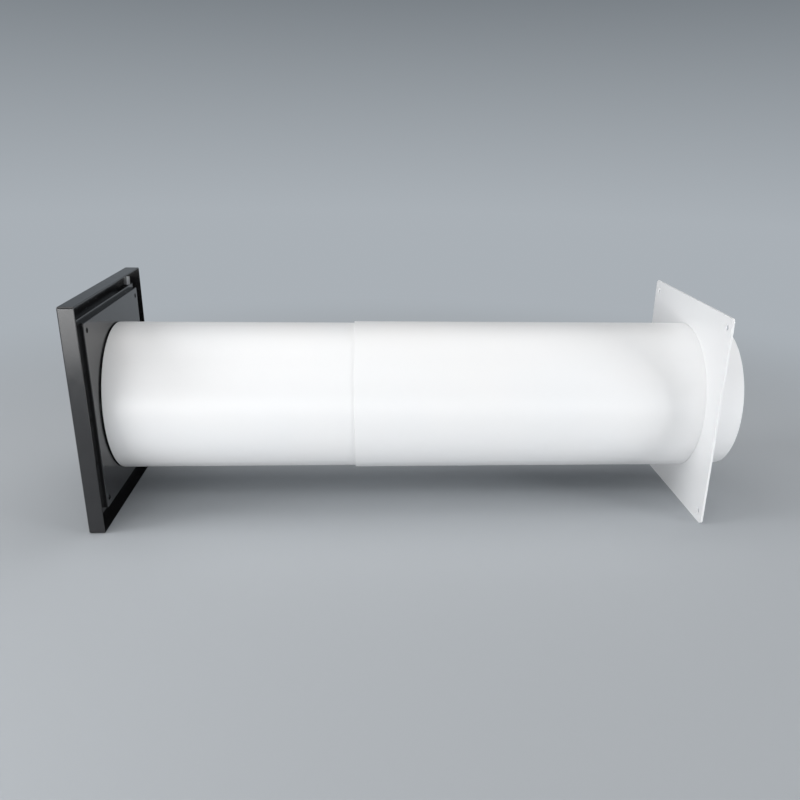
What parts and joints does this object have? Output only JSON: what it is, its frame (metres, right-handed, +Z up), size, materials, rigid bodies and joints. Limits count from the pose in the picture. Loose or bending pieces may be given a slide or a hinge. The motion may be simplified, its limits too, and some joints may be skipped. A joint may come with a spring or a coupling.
{
  "type": "wall vent sleeve",
  "caption": "Telescopic round wall vent sleeve with a white flanged spigot indoors, a black louvred cover outdoors and backdraft flaps.",
  "frame": {"origin": "on the duct axis, in the plane where the room flange lies on the wall: the centre of the flange's screw holes", "axes": "+X along the duct from outdoors to the room, towards the spigot's mouth; +Y across the wall; +Z up"},
  "size_m": [0.645, 0.219, 0.219],
  "materials": {
    "white_plastic": "satin",
    "black_coating": "satin",
    "stainless_steel": "brushed",
    "flap_aluminium": "satin"
  },
  "bodies": {
    "room_half": {"room_flange": "white_plastic", "outer_pipe": "white_plastic", "flap_shaft": "stainless_steel"},
    "outdoor_half": {"inner_pipe": "white_plastic", "wall_plate": "black_coating", "plate_collar": "black_coating", "outer_frame": "black_coating", "louvre_frame": "black_coating", "fly_screen": "stainless_steel", "louvre_blade_1": "black_coating", "louvre_blade_2": "black_coating", "louvre_blade_3": "black_coating", "louvre_blade_4": "black_coating", "louvre_blade_5": "black_coating", "louvre_blade_6": "black_coating", "louvre_blade_7": "black_coating", "louvre_blade_8": "black_coating", "corner_clip_1": "stainless_steel", "corner_clip_2": "stainless_steel", "corner_clip_3": "stainless_steel", "corner_clip_4": "stainless_steel", "grille_catch_1": "stainless_steel", "grille_catch_2": "stainless_steel", "grille_catch_3": "stainless_steel", "grille_catch_4": "stainless_steel"},
    "left_flap": {"flap_left": "flap_aluminium", "closing_spring_left": "stainless_steel"},
    "right_flap": {"flap_right": "flap_aluminium", "closing_spring_right": "stainless_steel"}
  },
  "joints": [
    {"name": "telescope_slide", "type": "slide", "parent": "room_half", "child": "outdoor_half", "axis": [1, 0, 0], "range_m": [-0.07, 0.21]},
    {"name": "left_flap_hinge", "type": "hinge", "parent": "room_half", "child": "left_flap", "pos_m": [0.022, 0, 0], "axis": [0, 0, 1], "range_deg": [0, 75], "stiffness_Nm_per_rad": 0.004, "springref_deg": -20.05},
    {"name": "right_flap_hinge", "type": "hinge", "parent": "room_half", "child": "right_flap", "pos_m": [0.022, 0, 0], "axis": [0, 0, -1], "range_deg": [0, 75], "stiffness_Nm_per_rad": 0.004, "springref_deg": -20.05}
  ]
}
